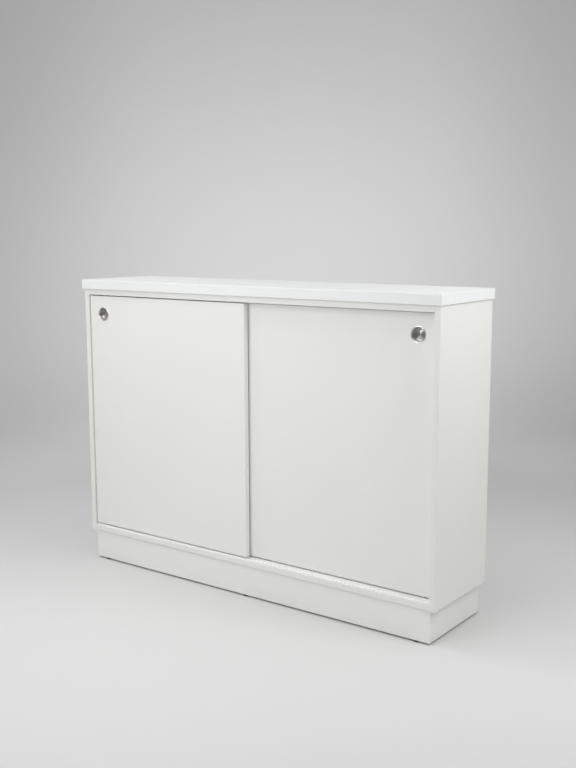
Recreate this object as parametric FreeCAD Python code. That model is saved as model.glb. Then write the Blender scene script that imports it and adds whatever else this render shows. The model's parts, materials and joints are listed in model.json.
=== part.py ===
import FreeCAD, Part
import math
import os

from FreeCAD import Vector

# Low cabinet with two sliding doors, in white melamine board on a set-back plinth.
# Millimetres. X runs left to right, Y front to back, Z up from the floor.
# The origin is on the floor, below the middle of the worktop slab.

# Worktop slab
slab_width = 1200.0
slab_depth = 285.0
slab_thick = 28.0
slab_edge_radius = 2.0
side_overhang = 5.0
front_overhang = 7.0
rear_overhang = 3.0

# Carcass
carcass_height = 740.0
board = 16.0                # thickness of every carcass, shelf and plinth board
board_edge_radius = 1.0     # eased edging strip on each board's front edge
back_thick = 6.0
back_setback = 10.0         # rear edge of the sides to the back panel
back_groove = 6.0           # how deep the back panel's groove is cut
divider_setback = 4.5       # rear door to the divider's front edge
divider_housing = 4.0       # depth of the divider's grooves in the top and bottom panels
shelf_setback = 4.0         # divider's front edge to the shelf's
shelf_rear_gap = 2.0
shelf_end_gap = 0.5

# Plinth and its glides
plinth_height = 90.0        # floor to the underside of the carcass
plinth_front_inset = 6.0
plinth_side_inset = 16.0
plinth_rear_inset = 2.0
glide_height = 5.0
glide_inset = 40.0          # plinth end to the glide's centre
glide_rim = 0.5             # how far the glide stays inside the board's edge
block_size = 20.0           # corner blocks between plinth and carcass
block_bevel = 8.0

# Doors
door_thick = 16.0
door_recess = 5.0           # carcass front edge to the front door's face
door_spacing = 4.0          # between the two doors
door_side_gap = 1.5
door_top_gap = 3.0
door_track_gap = 3.0
door_overlap = 19.0         # how far one closed door passes behind the other
door_edge_radius = 1.0

# Flush round finger pull
pull_radius = 21.0          # outer edge of the flange
pull_mouth_radius = 18.0
pull_inset = 54.0           # door's outer edge to the pull's centre
pull_drop = 53.5            # door's top edge to the pull's centre
pull_wall = 0.8
pull_flange = 1.0
pull_web = 3.5              # board left behind the cup
pull_floor_bevel = 2.0
pull_lip_bevel = 0.5

# Lower track: one low profile with a running channel for each door
track_height = 3.5
track_margin = 2.5          # how far the profile passes the doors' faces
track_edge_radius = 1.2
track_channel_width = 5.4
track_channel_depth = 2.5
track_mouth_bevel = 0.4
track_end_gap = 0.5
spine_width = 4.0           # rib under each channel, pressed into a saw cut
spine_depth = 5.0

# Upper tracks: one channel for each door, let into the carcass top
guide_channel_width = 5.6
guide_channel_wall = 1.2
guide_channel_spare = 1.0   # room above the guide when the door is lifted out

# Rollers in the doors' lower edges
roller_radius = 9.0
roller_width = 4.0
roller_rim = 2.2
roller_web = 2.4
roller_lift = 0.3           # tread to channel floor
roller_inset = 70.0         # door's edge to the axle
axle_radius = 1.5
housing_wall = 3.0          # board left on each side of a housing
housing_length = 40.0
housing_cover = 4.0         # plastic above the wheel's pocket
pocket_gap = 1.5            # round the wheel inside its housing
pocket_side_gap = 0.6       # on each side of the wheel

# Guides in the doors' upper edges
guide_inset = 60.0
guide_depth = 14.0
guide_blade_length = 24.0
guide_blade_gap = 0.5       # on each side in the channel
guide_engagement = 4.0      # blade inside the channel with the door down

# Rubber stops on the sides, in line with each door
stop_width = 8.0
stop_height = 60.0
stop_door_gap = 0.3

# Knock-down fittings
cam_radius = 7.5
cam_skin = 3.5              # board left below the cam
cam_distance = 34.0         # panel end to the cam's centre
cam_inset = 40.0            # back panel to the cams
bolt_radius = 3.0
bolt_in_side = 11.0
bolt_past_centre = 1.0      # how far the bolt's head passes the cam's centre
dowel_radius = 4.0
dowel_in_panel = 20.0
dowel_in_side = 10.0

# Shelf supports
pin_radius = 2.5
pin_stub = 8.0
pin_meeting_gap = 1.0       # between two pins in one hole through the divider
pin_column_inset = 37.0
pin_pitch = 64.0
pin_hole_depth = 10.0

# Clearances
fit_gap = 0.1               # round a piece that sits in a bore, slot or mortise
groove_end_gap = 0.5
hole_end_gap = 0.5

# Planes and positions that follow from the sizes above
carcass_half = slab_width / 2 - side_overhang
inner_half = carcass_half - board
carcass_front = -slab_depth / 2 + front_overhang
carcass_rear = slab_depth / 2 - rear_overhang
carcass_top_z = plinth_height + carcass_height
inner_floor = plinth_height + board
inner_ceiling = carcass_top_z - board
back_rear = carcass_rear - back_setback
back_front = back_rear - back_thick

front_lane = carcass_front + door_recess + door_thick / 2
rear_lane = front_lane + door_thick + door_spacing
mid_lane = (front_lane + rear_lane) / 2
door_width = inner_half - door_side_gap + door_overlap / 2
door_bottom = inner_floor + track_height + door_track_gap
door_top = inner_ceiling - door_top_gap

channel_floor = inner_floor + track_height - track_channel_depth
roller_axis_z = channel_floor + roller_lift + roller_radius
housing_width = door_thick - 2 * housing_wall
housing_height = roller_axis_z + roller_radius + pocket_gap + housing_cover - door_bottom
guide_channel_depth = guide_engagement + door_top_gap + guide_channel_spare
guide_blade_height = door_top_gap + guide_engagement

divider_front = rear_lane + door_thick / 2 + divider_setback
shelf_front = divider_front + shelf_setback
shelf_rear = back_front - shelf_rear_gap
pin_columns = (divider_front + pin_column_inset, back_front - pin_column_inset)
shelf_level = (inner_floor + inner_ceiling) / 2
pin_levels = (shelf_level, shelf_level + pin_pitch)
pin_insert = (board - pin_meeting_gap) / 2
cam_row = back_front - cam_inset
cam_depth = board - cam_skin

plinth_front = carcass_front + plinth_front_inset
plinth_rear = carcass_rear - plinth_rear_inset
plinth_half = carcass_half - plinth_side_inset

# Height of a panel's middle, its hidden face, and the way from that face into the board
top_joint = (carcass_top_z - board / 2, carcass_top_z, -1)
bottom_joint = (plinth_height + board / 2, plinth_height, 1)

along_x = Vector(1, 0, 0)
along_y = Vector(0, 1, 0)
along_z = Vector(0, 0, 1)
tiny = 1e-4


# Shapes that several pieces use

def block(x, y, z):
    spans = (x, y, z)
    sizes = [abs(span[1] - span[0]) for span in spans]
    return Part.makeBox(*sizes, Vector(*[min(span) for span in spans]))


def rod(radius, start, direction, length):
    return Part.makeCylinder(radius, length, start, direction)


def slot_prism(x, y, length, width, z):
    # Prism with half-round ends, lying along X, such as a router leaves
    reach = length / 2 - width / 2
    body = block((x - reach, x + reach), (y - width / 2, y + width / 2), z)
    height = z[1] - z[0]
    ends = [rod(width / 2, Vector(x + end * reach, y, z[0]), along_z, height) for end in (-1, 1)]
    return body.fuse(ends).removeSplitter()


def rounded_face(corners, place):
    # Face inside an outline of (u, v, radius) corners; place turns u and v into a point
    points = [place(u, v) for u, v, radius in corners]
    edges = []
    starts = []
    ends = []
    arcs = []
    for i, corner in enumerate(points):
        radius = corners[i][2]
        back = (points[i - 1] - corner).normalize()
        ahead = (points[(i + 1) % len(points)] - corner).normalize()
        if not radius:
            starts.append(corner)
            ends.append(corner)
            arcs.append(None)
            continue
        half = math.acos(back.dot(ahead)) / 2
        inward = (back + ahead).normalize()
        reach = radius / math.tan(half)
        middle = corner + inward * (radius / math.sin(half) - radius)
        starts.append(corner + back * reach)
        ends.append(corner + ahead * reach)
        arcs.append(Part.Arc(starts[-1], middle, ends[-1]).toShape())
    for i, arc in enumerate(arcs):
        if arc:
            edges.append(arc)
        following = starts[(i + 1) % len(starts)]
        if (following - ends[i]).Length > tiny:
            edges.append(Part.LineSegment(ends[i], following).toShape())
    return Part.Face(Part.Wire(edges))


def turned(corners, centre, axis):
    # Solid of revolution: corners are (radius, distance along the axis, corner radius)
    across = along_z if abs(axis.z) < tiny else along_x
    face = rounded_face(corners, lambda r, t: centre + across * r + axis * t)
    return face.revolve(centre, axis, 360)


def extruded_along_x(corners, half_length):
    face = rounded_face(corners, lambda y, z: Vector(-half_length, y, z))
    return face.extrude(along_x * (2 * half_length))


def edges_along(shape, axis, y):
    # Straight edges that run along the axis and lie in the plane at this Y
    found = []
    for edge in shape.Edges:
        run = edge.Vertexes[-1].Point - edge.Vertexes[0].Point
        level = all(abs(vertex.Point.y - y) < tiny for vertex in edge.Vertexes)
        if level and run.Length > tiny and abs(abs(run.dot(axis)) - run.Length) < tiny:
            found.append(edge)
    return found


# Where the fittings stand

def joint_ends():
    # Each end of the carcass top and bottom: side, board middle, hidden face, way into the board
    for middle, face, inward in (top_joint, bottom_joint):
        for side in (-1, 1):
            yield side, middle, face, inward


def glide_places():
    for y in (plinth_front + board / 2, plinth_rear - board / 2):
        for x in (-plinth_half + glide_inset, 0, plinth_half - glide_inset):
            yield Vector(x, y, 0)


# Worktop and carcass

def top_slab():
    z = (carcass_top_z, carcass_top_z + slab_thick)
    slab = block((-slab_width / 2, slab_width / 2), (-slab_depth / 2, slab_depth / 2), z)
    rims = [edge for edge in slab.Edges if abs(edge.Vertexes[0].Z - edge.Vertexes[-1].Z) < tiny]
    return slab.makeFillet(slab_edge_radius, rims)


def side_panel(side):
    inner = side * inner_half
    outward = along_x * side
    z = (plinth_height, carcass_top_z)
    panel = block((inner, side * carcass_half), (carcass_front, carcass_rear), z)
    panel = panel.makeFillet(board_edge_radius, edges_along(panel, along_z, carcass_front))
    groove_y = (back_front - fit_gap, back_rear + fit_gap)
    cuts = [block((inner, inner + side * back_groove), groove_y, z)]
    for y in pin_columns:
        for level in pin_levels:
            cuts.append(rod(pin_radius + fit_gap, Vector(inner, y, level), outward, pin_hole_depth))
    for at, middle, face, inward in joint_ends():
        if at == side:
            bolt_start = Vector(inner, cam_row, middle)
            cuts.append(rod(bolt_radius + fit_gap, bolt_start, outward, bolt_in_side + hole_end_gap))
            dowel_start = Vector(inner, mid_lane, middle)
            cuts.append(rod(dowel_radius + fit_gap, dowel_start, outward, dowel_in_side + hole_end_gap))
    return panel.cut(cuts)


def level_panel(joint):
    # Carcass top or bottom, between the sides: bored for cams, bolts and dowels,
    # and grooved on its inner face for the back panel and the divider
    middle, hidden_face, inward = joint
    inner_face = hidden_face + inward * board
    panel = block((-inner_half, inner_half), (carcass_front, carcass_rear), (hidden_face, inner_face))
    panel = panel.makeFillet(board_edge_radius, edges_along(panel, along_x, carcass_front))
    cuts = [
        block((-inner_half, inner_half), (back_front - fit_gap, back_rear + fit_gap),
              (inner_face, inner_face - inward * back_groove)),
        block((-board / 2, board / 2), (divider_front, back_front),
              (inner_face, inner_face - inward * divider_housing)),
    ]
    for side in (-1, 1):
        end = side * inner_half
        into = along_x * -side
        cam_centre = Vector(end - side * cam_distance, cam_row, hidden_face)
        cuts.append(rod(cam_radius + fit_gap, cam_centre, along_z * inward, cam_depth))
        cuts.append(rod(bolt_radius + fit_gap, Vector(end, cam_row, middle), into, cam_distance))
        dowel_start = Vector(end, mid_lane, middle)
        cuts.append(rod(dowel_radius + fit_gap, dowel_start, into, dowel_in_panel + hole_end_gap))
    return panel.cut(cuts)


def carcass_top():
    half = guide_channel_width / 2 + guide_channel_wall
    depth = guide_channel_depth + guide_channel_wall
    cuts = [
        block((-inner_half, inner_half), (lane - half, lane + half), (inner_ceiling, inner_ceiling + depth))
        for lane in (front_lane, rear_lane)
    ]
    return level_panel(top_joint).cut(cuts)


def carcass_bottom():
    half = spine_width / 2
    depth = spine_depth + hole_end_gap
    saw_cuts = [
        block((-inner_half, inner_half), (lane - half, lane + half), (inner_floor - depth, inner_floor))
        for lane in (front_lane, rear_lane)
    ]
    return level_panel(bottom_joint).cut(saw_cuts)


def back_panel():
    reach = back_groove - groove_end_gap
    x = inner_half + reach
    return block((-x, x), (back_front, back_rear), (inner_floor - reach, inner_ceiling + reach))


def centre_divider():
    z = (inner_floor - divider_housing, inner_ceiling + divider_housing)
    divider = block((-board / 2, board / 2), (divider_front, back_front), z)
    divider = divider.makeFillet(board_edge_radius, edges_along(divider, along_z, divider_front))
    pin_holes = [
        rod(pin_radius + fit_gap, Vector(-board / 2, y, level), along_x, board)
        for y in pin_columns for level in pin_levels
    ]
    return divider.cut(pin_holes)


def shelf(side):
    x = (side * (board / 2 + shelf_end_gap), side * (inner_half - shelf_end_gap))
    bottom = shelf_level + pin_radius
    piece = block(x, (shelf_front, shelf_rear), (bottom, bottom + board))
    return piece.makeFillet(board_edge_radius, edges_along(piece, along_x, shelf_front))


def shelf_pins():
    pins = []
    for y in pin_columns:
        for side in (-1, 1):
            for face, outward in ((side * inner_half, -side), (side * board / 2, side)):
                start = Vector(face - outward * pin_insert, y, shelf_level)
                pins.append(rod(pin_radius, start, along_x * outward, pin_insert + pin_stub))
    return Part.makeCompound(pins)


# Knock-down fittings

def cam_discs():
    # Each disc is slotted from its rim to just past its centre, where the bolt's end lies
    half = bolt_radius + fit_gap
    discs = []
    for side, middle, face, inward in joint_ends():
        x = side * (inner_half - cam_distance)
        disc = rod(cam_radius, Vector(x, cam_row, face), along_z * inward, cam_depth)
        slot_x = (x - side * (bolt_past_centre + hole_end_gap), x + side * cam_radius)
        slot_z = (middle - inward * half, face + inward * cam_depth)
        discs.append(disc.cut(block(slot_x, (cam_row - half, cam_row + half), slot_z)))
    return Part.makeCompound(discs)


def cam_bolts():
    length = bolt_in_side + cam_distance + bolt_past_centre
    bolts = []
    for side, middle, face, inward in joint_ends():
        start = Vector(side * (inner_half + bolt_in_side), cam_row, middle)
        bolts.append(rod(bolt_radius, start, along_x * -side, length))
    return Part.makeCompound(bolts)


def dowels():
    pegs = []
    for side, middle, face, inward in joint_ends():
        start = Vector(side * (inner_half + dowel_in_side), mid_lane, middle)
        pegs.append(rod(dowel_radius, start, along_x * -side, dowel_in_side + dowel_in_panel))
    return Part.makeCompound(pegs)


# Plinth

def plinth_board(x, y):
    return block(x, y, (glide_height, plinth_height))


def plinth_rail(y_outer, y_inner):
    return plinth_board((-plinth_half, plinth_half), (y_outer, y_inner))


def plinth_cross(x_from):
    return plinth_board((x_from, x_from + board), (plinth_front + board, plinth_rear - board))


def corner_block(x, x_way, y, y_way):
    # Moulded block that ties two plinth boards to the carcass bottom, its outer corner cut off
    corners = (
        (0, 0, 0), (block_size, 0, 0), (block_size, block_size - block_bevel, 0),
        (block_size - block_bevel, block_size, 0), (0, block_size, 0),
    )
    bottom = plinth_height - block_size
    face = rounded_face(corners, lambda u, v: Vector(x + x_way * u, y + y_way * v, bottom))
    return face.extrude(along_z * block_size)


def plinth_blocks():
    blocks = []
    for y, y_way in ((plinth_front + board, 1), (plinth_rear - board, -1)):
        for side in (-1, 1):
            blocks.append(corner_block(side * (plinth_half - board), -side, y, y_way))
        blocks.append(corner_block(board / 2, 1, y, y_way))
    return Part.makeCompound(blocks)


def plinth_glides():
    radius = board / 2 - glide_rim
    return Part.makeCompound([rod(radius, place, along_z, glide_height) for place in glide_places()])


# Tracks

def lower_track():
    front = front_lane - door_thick / 2 - track_margin
    rear = rear_lane + door_thick / 2 + track_margin
    top = inner_floor + track_height
    half = track_channel_width / 2
    bevel = track_mouth_bevel
    corners = [(front, inner_floor, 0), (front, top, track_edge_radius)]
    for lane in (front_lane, rear_lane):
        corners += [
            (lane - half - bevel, top, 0), (lane - half, top - bevel, 0), (lane - half, channel_floor, 0),
            (lane + half, channel_floor, 0), (lane + half, top - bevel, 0), (lane + half + bevel, top, 0),
        ]
    corners += [(rear, top, track_edge_radius), (rear, inner_floor, 0)]
    for lane in (rear_lane, front_lane):
        rib = spine_width / 2 - fit_gap
        low = inner_floor - spine_depth
        corners += [(lane + rib, inner_floor, 0), (lane + rib / 2, low, 0),
                    (lane - rib / 2, low, 0), (lane - rib, inner_floor, 0)]
    return extruded_along_x(corners, inner_half - track_end_gap)


def upper_track(lane):
    outer = guide_channel_width / 2 + guide_channel_wall - fit_gap
    inner = guide_channel_width / 2
    mouth = inner_ceiling
    roof = mouth + guide_channel_depth
    crown = roof + guide_channel_wall - fit_gap
    bevel = track_mouth_bevel
    corners = (
        (lane - outer, mouth, 0), (lane - outer, crown, bevel), (lane + outer, crown, bevel),
        (lane + outer, mouth, 0), (lane + inner + bevel, mouth, 0), (lane + inner, mouth + bevel, 0),
        (lane + inner, roof, bevel), (lane - inner, roof, bevel), (lane - inner, mouth + bevel, 0),
        (lane - inner - bevel, mouth, 0),
    )
    return extruded_along_x(corners, inner_half - track_end_gap)


def door_stops():
    # A strip on each side in line with each door, half way up
    middle = (door_bottom + door_top) / 2
    z = (middle - stop_height / 2, middle + stop_height / 2)
    face = inner_half - door_side_gap + stop_door_gap
    strips = [
        block((side * inner_half, side * face), (lane - stop_width / 2, lane + stop_width / 2), z)
        for side in (-1, 1) for lane in (front_lane, rear_lane)
    ]
    return Part.makeCompound(strips)


# Doors: side is -1 for the left door and 1 for the right one

def door_edges(side):
    outer = side * (inner_half - door_side_gap)
    return outer, outer - side * door_width


def places_in_door(side, inset):
    # Two points along a door, left one first
    low, high = sorted(door_edges(side))
    return low + inset, high - inset


def pull_centre(side, lane):
    return Vector(door_edges(side)[0] - side * pull_inset, lane - door_thick / 2, door_top - pull_drop)


def door_panel(side, lane):
    front = lane - door_thick / 2
    rear = lane + door_thick / 2
    panel = block(door_edges(side), (front, rear), (door_bottom, door_top))
    rim = []
    for y in (front, rear):
        rim += edges_along(panel, along_x, y) + edges_along(panel, along_z, y)
    panel = panel.makeFillet(door_edge_radius, rim)
    pull_bore_radius = pull_mouth_radius + pull_wall + fit_gap
    cuts = [rod(pull_bore_radius, pull_centre(side, lane), along_y, door_thick - pull_web)]
    for x in places_in_door(side, roller_inset):
        cuts.append(slot_prism(x, lane, housing_length + 2 * fit_gap, housing_width + 2 * fit_gap,
                               (door_bottom, door_bottom + housing_height + fit_gap)))
    for x in places_in_door(side, guide_inset):
        cuts.append(rod(housing_width / 2 + fit_gap, Vector(x, lane, door_top), -along_z, guide_depth))
    return panel.cut(cuts)


def finger_pull(side, lane):
    # Pressed cup with a flat flange that lies on the door's face
    depth = door_thick - pull_web - fit_gap
    outer = pull_mouth_radius + pull_wall
    floor = depth - pull_wall
    corners = (
        (0, depth, 0), (outer, depth, 0), (outer, 0, 0), (pull_radius, 0, 0),
        (pull_radius, pull_lip_bevel - pull_flange, 0), (pull_radius - pull_lip_bevel, -pull_flange, 0),
        (pull_mouth_radius, -pull_flange, 0), (pull_mouth_radius, floor - pull_floor_bevel, 0),
        (pull_mouth_radius - pull_floor_bevel, floor, 0), (0, floor, 0),
    )
    return turned(corners, pull_centre(side, lane), along_y)


def roller_housing(x, lane):
    # Round-ended housing let into the door's lower edge, with a round pocket for the wheel
    body = slot_prism(x, lane, housing_length, housing_width, (door_bottom, door_bottom + housing_height))
    half = roller_width / 2 + pocket_side_gap
    pocket = rod(roller_radius + pocket_gap, Vector(x, lane - half, roller_axis_z), along_y, 2 * half)
    bore_start = Vector(x, lane - housing_width / 2, roller_axis_z)
    bore = rod(axle_radius + fit_gap, bore_start, along_y, housing_width)
    return body.cut([pocket, bore])


def axles(side, lane):
    pins = [
        rod(axle_radius, Vector(x, lane - housing_width / 2, roller_axis_z), along_y, housing_width)
        for x in places_in_door(side, roller_inset)
    ]
    return Part.makeCompound(pins)


def roller(x, lane):
    # Nylon wheel: a plain tread round a thinner web
    bore = axle_radius + fit_gap
    rim = roller_width / 2
    web = roller_web / 2
    rim_inner = roller_radius - roller_rim
    corners = (
        (bore, -web, 0), (rim_inner, -web, 0), (rim_inner, -rim, 0), (roller_radius, -rim, 0),
        (roller_radius, rim, 0), (rim_inner, rim, 0), (rim_inner, web, 0), (bore, web, 0),
    )
    return turned(corners, Vector(x, lane, roller_axis_z), along_y)


def door_guide(x, lane):
    # Round plug in the door's upper edge, with a round-nosed blade that stands in the channel
    plug = rod(housing_width / 2, Vector(x, lane, door_top), -along_z, guide_depth)
    blade = slot_prism(x, lane, guide_blade_length, guide_channel_width - 2 * guide_blade_gap,
                       (door_top, door_top + guide_blade_height))
    return plug.fuse(blade)


def door_pieces(name, side, lane):
    pieces = {
        name + "_panel": door_panel(side, lane),
        name + "_pull": finger_pull(side, lane),
        name + "_axles": axles(side, lane),
    }
    roller_places = places_in_door(side, roller_inset)
    guide_places = places_in_door(side, guide_inset)
    for end, roller_x, guide_x in zip(("left", "right"), roller_places, guide_places):
        pieces[name + "_housing_" + end] = roller_housing(roller_x, lane)
        pieces[name + "_roller_" + end] = roller(roller_x, lane)
        pieces[name + "_guide_" + end] = door_guide(guide_x, lane)
    return pieces


# The whole cabinet

def carcass_pieces():
    return {
        "top_slab": top_slab(),
        "side_left": side_panel(-1),
        "side_right": side_panel(1),
        "carcass_top": carcass_top(),
        "carcass_bottom": carcass_bottom(),
        "back_panel": back_panel(),
        "centre_divider": centre_divider(),
        "shelf_left": shelf(-1),
        "shelf_right": shelf(1),
        "shelf_pins": shelf_pins(),
        "cam_discs": cam_discs(),
        "cam_bolts": cam_bolts(),
        "dowels": dowels(),
    }


def plinth_pieces():
    return {
        "plinth_front": plinth_rail(plinth_front, plinth_front + board),
        "plinth_back": plinth_rail(plinth_rear, plinth_rear - board),
        "plinth_end_left": plinth_cross(-plinth_half),
        "plinth_end_right": plinth_cross(plinth_half - board),
        "plinth_cross_rail": plinth_cross(-board / 2),
        "plinth_blocks": plinth_blocks(),
        "plinth_glides": plinth_glides(),
    }


def track_pieces():
    return {
        "lower_track": lower_track(),
        "upper_track_front": upper_track(front_lane),
        "upper_track_rear": upper_track(rear_lane),
        "door_stops": door_stops(),
    }


cabinet = {}
cabinet.update(carcass_pieces())
cabinet.update(plinth_pieces())
cabinet.update(track_pieces())
cabinet.update(door_pieces("left_door", -1, front_lane))
cabinet.update(door_pieces("right_door", 1, rear_lane))

os.makedirs("parts", exist_ok=True)
for name, shape in cabinet.items():
    shape.exportStep("parts/" + name + ".step")

door_travel = 2 * (inner_half - door_side_gap) - door_width
print("pieces:", len(cabinet))
print("door travel:", door_travel, "axle height:", roller_axis_z)
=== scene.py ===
import bpy
import json
import math

from mathutils import Matrix, Vector


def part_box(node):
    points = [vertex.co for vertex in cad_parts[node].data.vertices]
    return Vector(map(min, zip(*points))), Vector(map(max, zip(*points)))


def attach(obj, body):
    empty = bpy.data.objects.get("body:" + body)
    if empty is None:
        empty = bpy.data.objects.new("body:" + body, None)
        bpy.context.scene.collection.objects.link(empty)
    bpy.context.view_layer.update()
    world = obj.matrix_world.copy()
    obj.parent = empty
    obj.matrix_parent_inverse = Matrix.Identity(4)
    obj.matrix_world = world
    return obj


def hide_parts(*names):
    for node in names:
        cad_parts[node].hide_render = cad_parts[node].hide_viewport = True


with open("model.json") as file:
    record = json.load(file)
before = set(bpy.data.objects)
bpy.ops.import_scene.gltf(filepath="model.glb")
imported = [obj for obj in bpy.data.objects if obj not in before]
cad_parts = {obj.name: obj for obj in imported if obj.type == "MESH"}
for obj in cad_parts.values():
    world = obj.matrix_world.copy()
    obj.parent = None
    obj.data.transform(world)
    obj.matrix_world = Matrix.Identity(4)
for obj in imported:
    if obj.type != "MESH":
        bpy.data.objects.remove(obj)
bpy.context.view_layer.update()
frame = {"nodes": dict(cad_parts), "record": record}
nodes = frame["nodes"]
slotOf = {part["node"]: part["material_slot"] for part in frame["record"]["subparts"]}
scene = bpy.context.scene
print("frame loaded:", len(nodes), "nodes")


# Camera: a standing view from the right of the cabinet's front, looking a little down

cameraSetup = {
    "place": (1.6945, -2.2240, 1.0088),
    "turn": 36.352,       # degrees, left of straight ahead
    "tilt": 8.755,        # degrees down
    "roll": -0.148,
    "lens": 47.562,
}


def addCamera(setup):
    data = bpy.data.cameras.new("viewCamera")
    data.sensor_width = 36
    data.lens = setup["lens"]
    camera = bpy.data.objects.new("viewCamera", data)
    scene.collection.objects.link(camera)
    turn = Matrix.Rotation(math.radians(setup["turn"]), 4, "Z")
    tilt = Matrix.Rotation(math.radians(90 - setup["tilt"]), 4, "X")
    roll = Matrix.Rotation(math.radians(setup["roll"]), 4, "Z")
    camera.matrix_world = Matrix.Translation(setup["place"]) @ turn @ tilt @ roll
    scene.camera = camera


addCamera(cameraSetup)
scene.view_settings.view_transform = "Standard"
print("camera set")


# Small helpers for node trees

def newMaterial(name):
    material = bpy.data.materials.new(name)
    material.use_nodes = True
    tree = material.node_tree
    return material, tree, tree.nodes["Principled BSDF"]


def addNode(tree, kind, **settings):
    node = tree.nodes.new(kind)
    for key, value in settings.items():
        setattr(node, key, value)
    return node


def feed(tree, socket, value):
    # a number, a colour or another node's output goes into a socket
    if isinstance(value, bpy.types.NodeSocket):
        tree.links.new(value, socket)
    else:
        socket.default_value = value


def calc(tree, operation, a, b=0.0, clamp=False):
    node = addNode(tree, "ShaderNodeMath", operation=operation, use_clamp=clamp)
    feed(tree, node.inputs[0], a)
    feed(tree, node.inputs[1], b)
    return node.outputs[0]


def vectorCalc(tree, operation, a, b=(0, 0, 0)):
    node = addNode(tree, "ShaderNodeVectorMath", operation=operation)
    feed(tree, node.inputs[0], a)
    feed(tree, node.inputs[1], b)
    return node.outputs["Value" if operation in ("LENGTH", "DOT_PRODUCT") else "Vector"]


def splitVector(tree, vector):
    node = addNode(tree, "ShaderNodeSeparateXYZ")
    feed(tree, node.inputs[0], vector)
    return node.outputs


def smooth(tree, value, low, high, fromValue=0.0, toValue=1.0):
    node = addNode(tree, "ShaderNodeMapRange", interpolation_type="SMOOTHSTEP")
    for socket, number in zip(node.inputs, (value, low, high, fromValue, toValue)):
        feed(tree, socket, number)
    return node.outputs[0]


def mixColor(tree, factor, a, b):
    # a Mix node keeps its colours in sockets 6, 7 and 2
    node = addNode(tree, "ShaderNodeMix", data_type="RGBA")
    feed(tree, node.inputs[0], factor)
    feed(tree, node.inputs[6], a)
    feed(tree, node.inputs[7], b)
    return node.outputs[2]


def mixValue(tree, factor, a, b):
    node = addNode(tree, "ShaderNodeMix", data_type="FLOAT")
    feed(tree, node.inputs[0], factor)
    feed(tree, node.inputs[2], a)
    feed(tree, node.inputs[3], b)
    return node.outputs[0]


def stretched(tree, point, scale=(1, 1, 1), move=(0, 0, 0)):
    node = addNode(tree, "ShaderNodeMapping")
    feed(tree, node.inputs["Vector"], point)
    node.inputs["Scale"].default_value = scale
    node.inputs["Location"].default_value = move
    return node.outputs[0]


def noise(tree, point, scale, detail=2.0, roughness=0.5):
    node = addNode(tree, "ShaderNodeTexNoise")
    feed(tree, node.inputs["Vector"], point)
    feed(tree, node.inputs["Scale"], scale)
    node.inputs["Detail"].default_value = detail
    node.inputs["Roughness"].default_value = roughness
    return node.outputs[0]


def objectPoint(tree):
    return addNode(tree, "ShaderNodeTexCoord").outputs["Object"]


def rgba(color, strength=1.0):
    return (*(value * strength for value in color), 1.0)


socketKinds = {
    "value": "NodeSocketFloat",
    "vector": "NodeSocketVector",
    "color": "NodeSocketColor",
}


def newGroup(name, inputs, outputs):
    tree = bpy.data.node_groups.new(name, "ShaderNodeTree")
    for label, (kind, start) in inputs.items():
        socket = tree.interface.new_socket(label, in_out="INPUT", socket_type=socketKinds[kind])
        if start is not None:
            socket.default_value = start
    for label, kind in outputs.items():
        tree.interface.new_socket(label, in_out="OUTPUT", socket_type=socketKinds[kind])
    enter = addNode(tree, "NodeGroupInput").outputs
    leave = addNode(tree, "NodeGroupOutput").inputs
    return tree, enter, leave


def placeGroup(tree, group, values):
    node = addNode(tree, "ShaderNodeGroup", node_tree=group)
    for label, value in values.items():
        feed(tree, node.inputs[label], value)
    return node.outputs


def addBump(tree, shader, height, distance, strength):
    bump = addNode(tree, "ShaderNodeBump")
    bump.inputs["Strength"].default_value = strength
    bump.inputs["Distance"].default_value = distance
    feed(tree, bump.inputs["Height"], height)
    tree.links.new(bump.outputs[0], shader.inputs["Normal"])


def toneAndGloss(look):
    # the inputs that every finish with a tone, a shade and a range of gloss has
    return {"Tone": rgba(look["tone"]), "Shade": rgba(look["shade"]),
            "Gloss Low": look["gloss"][0], "Gloss High": look["gloss"][1]}


# Small helpers for pieces

def selectOnly(piece):
    bpy.ops.object.select_all(action="DESELECT")
    piece.select_set(True)
    bpy.context.view_layer.objects.active = piece


def middleOf(name):
    low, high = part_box(name)
    return (low + high) / 2


def paint(piece, material):
    piece.data.materials.clear()
    piece.data.materials.append(material)


# Surface effects that several materials share. Noise scales are in cells to the metre

effectSetup = {
    "boardFace": {
        "fineScale": 160, "fineShare": 0.3,
        "wornScale": 14, "pearlShare": 0.35,
    },
    "boardEdges": {
        "skinFade": 0.0001,
        "cornerReach": 0.0025,            # how far from a board's corner hands wear it, and painted shade darkens the slab's edge
        "broadDepth": (0.0002, 0.0005),   # how deep a broad face's own finish goes
        "seamHalf": (0.00005, 0.00016),
        "faraway": 10,
    },
    "chipCore": {
        "flat": (1, 1, 2.2),
        "light": (0.50, 0.36, 0.21), "dark": (0.26, 0.17, 0.09),
        "grit": (0.62, 0.50, 0.34), "gritScale": 1500, "gritShare": 0.4,
    },
    "floorMarks": {
        "blotchStretch": (1, 1, 4), "blotchScale": 9, "blotchShare": 0.6,
        "streakStretch": (0.3, 0.3, 9), "streakScale": 30, "streakShare": 0.4,
    },
    "settledDust": {
        "upward": (0.7, 0.98),            # how level a face must be to hold dust
        "patchScale": 5, "patchShare": 0.55, "speckScale": 520,
    },
    "drawnMetal": {"dullScale": 260, "dullShare": 0.5},
    "turnedRings": {"broadCount": 0.12},  # broad rings to one fine one
    "mouldSkin": {"flowScale": 45, "skinShare": 0.3},
}


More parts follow.
